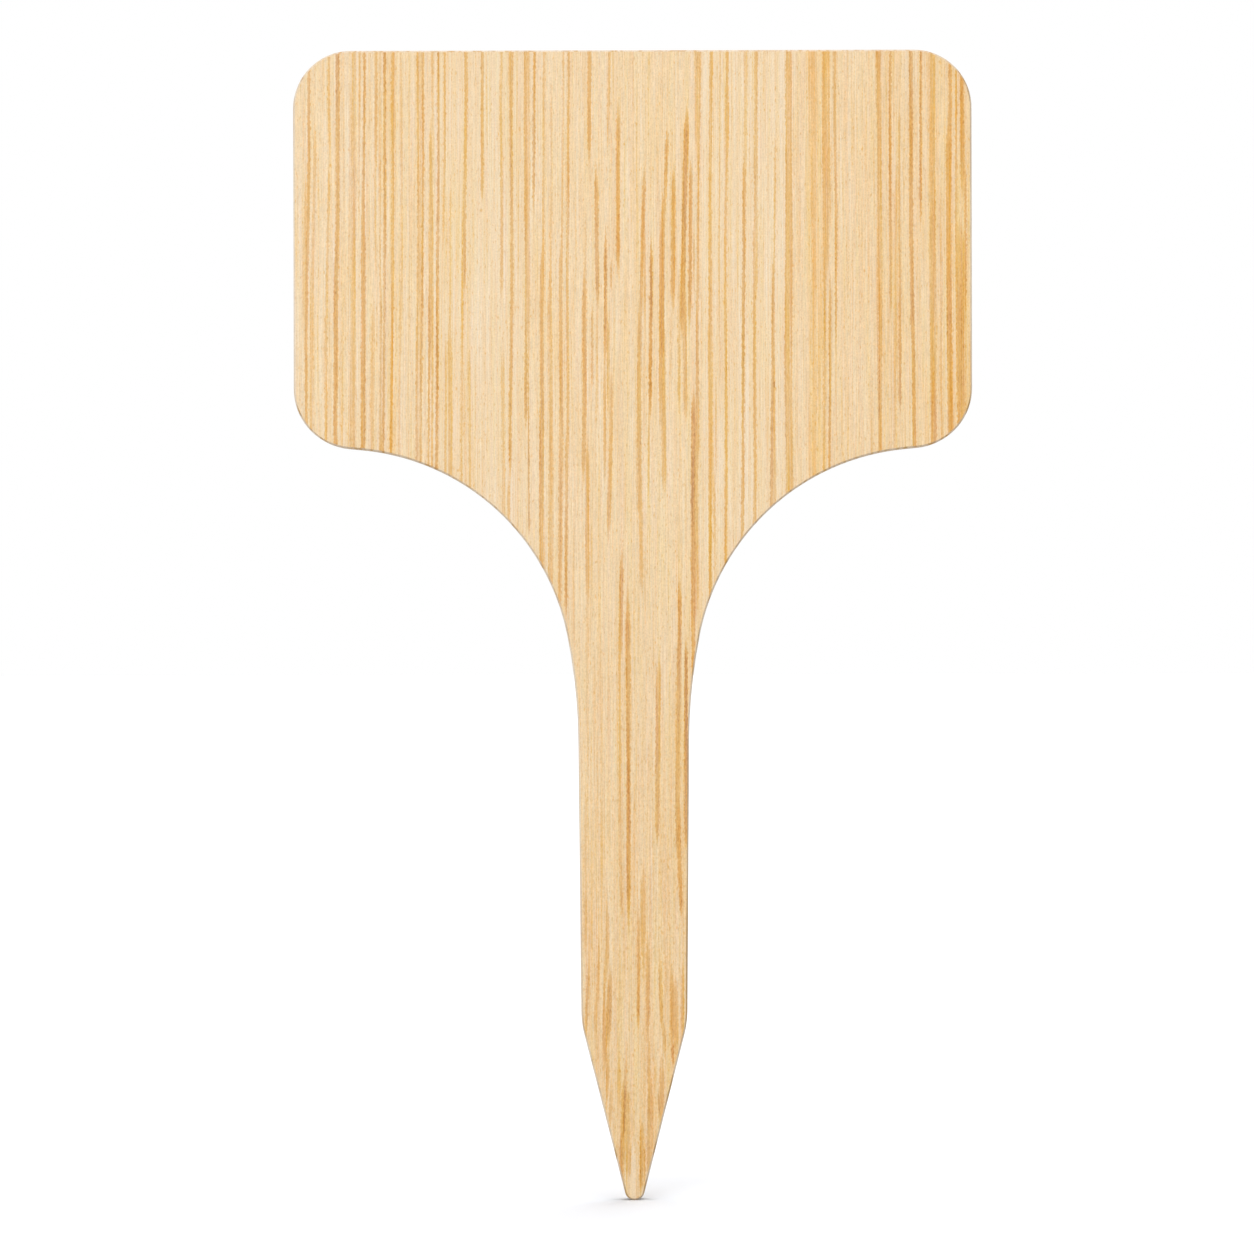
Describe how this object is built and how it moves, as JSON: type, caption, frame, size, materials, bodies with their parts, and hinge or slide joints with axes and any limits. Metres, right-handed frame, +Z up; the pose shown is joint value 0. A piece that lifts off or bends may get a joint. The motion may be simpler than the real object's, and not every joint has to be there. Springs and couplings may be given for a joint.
{
  "type": "plant label stake",
  "caption": "T-shaped bamboo plant label: a wide flat writing head on a narrow stem that tapers to a point for pushing into soil.",
  "frame": {"origin": "the very end of the point, in the middle of the thickness", "axes": "+Z up along the stake and its grain, from the point to the head's top edge; X across the head, with +X on the viewer's right; Y through the thickness, with the writing face towards -Y"},
  "size_m": [0.06, 0.0016, 0.1017],
  "materials": {
    "pale_bamboo": "sanded, bare",
    "straw_bamboo": "sanded, bare",
    "honey_bamboo": "sanded, bare"
  },
  "bodies": {
    "root": {"bamboo_strip_1": "straw_bamboo", "bamboo_strip_2": "straw_bamboo", "bamboo_strip_3": "pale_bamboo", "bamboo_strip_4": "straw_bamboo", "bamboo_strip_5": "honey_bamboo", "bamboo_strip_6": "pale_bamboo", "bamboo_strip_7": "straw_bamboo", "bamboo_strip_8": "honey_bamboo"}
  },
  "joints": []
}
